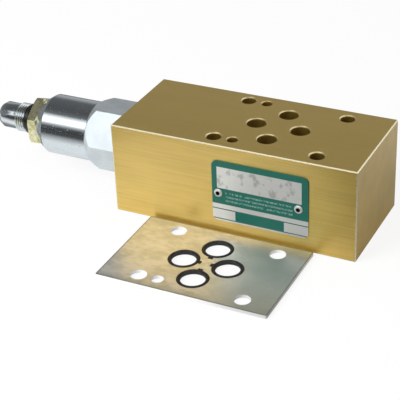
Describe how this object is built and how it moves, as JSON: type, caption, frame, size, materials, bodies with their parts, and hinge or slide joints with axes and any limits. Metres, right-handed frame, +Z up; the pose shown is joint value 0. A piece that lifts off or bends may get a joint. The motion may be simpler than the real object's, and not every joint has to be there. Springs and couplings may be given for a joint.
{
  "type": "pressure regulating valve",
  "caption": "Sandwich block valve with a screw-in spring cartridge, adjusting screw and lock nut, a name plate, and a loose seal plate with rubber port seals.",
  "frame": {"origin": "on the block's lower face, midway between the left and right bolt holes and in the line of the two service ports", "axes": "+X along the block away from the adjusting screw, +Z up through the ports, -Y towards the name plate"},
  "size_m": [0.1616, 0.0878, 0.037],
  "materials": {
    "anodised_aluminium": "gold anodised, brushed",
    "printed_aluminium": "printed green on silver",
    "zinc_plate": "bright zinc, rolled",
    "matt_zinc": "zinc plated, satin",
    "polished_zinc": "bright zinc, turned and polished",
    "yellow_zinc": "yellow passivated zinc",
    "bright_steel": "bright",
    "ground_steel": "hardened and ground",
    "dark_steel": "black oxide",
    "spring_steel": "oiled wire",
    "black_rubber": "moulded",
    "black_ring": "smooth black",
    "white_plastic": "moulded"
  },
  "bodies": {
    "block": {"valve_body": "anodised_aluminium", "gallery_plugs": "dark_steel", "name_plate": "printed_aluminium", "name_plate_rivets": "bright_steel", "seal_plate": "zinc_plate", "port_seal_front": "black_rubber", "port_seal_back": "black_rubber", "port_seal_left": "black_rubber", "port_seal_right": "black_rubber", "cartridge_body": "matt_zinc", "spring_housing": "polished_zinc", "cartridge_sleeve": "ground_steel", "orifice_disc": "ground_steel", "retaining_ring": "dark_steel", "main_spring": "spring_steel", "hexagon_seal": "black_rubber", "housing_seal": "black_rubber", "inlet_seal": "black_rubber", "outlet_seal": "black_rubber", "inlet_backing_ring": "white_plastic", "outlet_backing_ring": "white_plastic"},
    "spool": {"spool": "ground_steel", "spool_spring_seat": "dark_steel"},
    "follower": {"spring_follower": "dark_steel"},
    "screw": {"adjusting_screw": "polished_zinc", "screw_seal": "black_rubber", "stop_ring": "black_ring"},
    "nut": {"lock_nut": "yellow_zinc"}
  },
  "joints": [
    {"name": "spool_slide", "type": "slide", "parent": "block", "child": "spool", "axis": [1, 0, 0], "range_m": [-0.0032, 0], "stiffness_N_per_m": 1000, "springref_m": 0.004, "deforming": ["main_spring"]},
    {"name": "follower_slide", "type": "slide", "parent": "block", "child": "follower", "axis": [1, 0, 0], "range_m": [-0.004, 0.002], "deforming": ["main_spring"]},
    {"name": "screw_turn", "type": "hinge", "parent": "follower", "child": "screw", "pos_m": [-0.11, 0, 0.02], "axis": [1, 0, 0], "range_deg": [-1441, 721]},
    {"name": "nut_turn", "type": "hinge", "parent": "block", "child": "nut", "pos_m": [-0.10485, 0, 0.02], "axis": [1, 0, 0], "range_deg": [-180, 0]}
  ],
  "couplings": [
    {"joint": "screw_turn", "follows": "follower_slide", "rad_per_m": 6283.2}
  ]
}
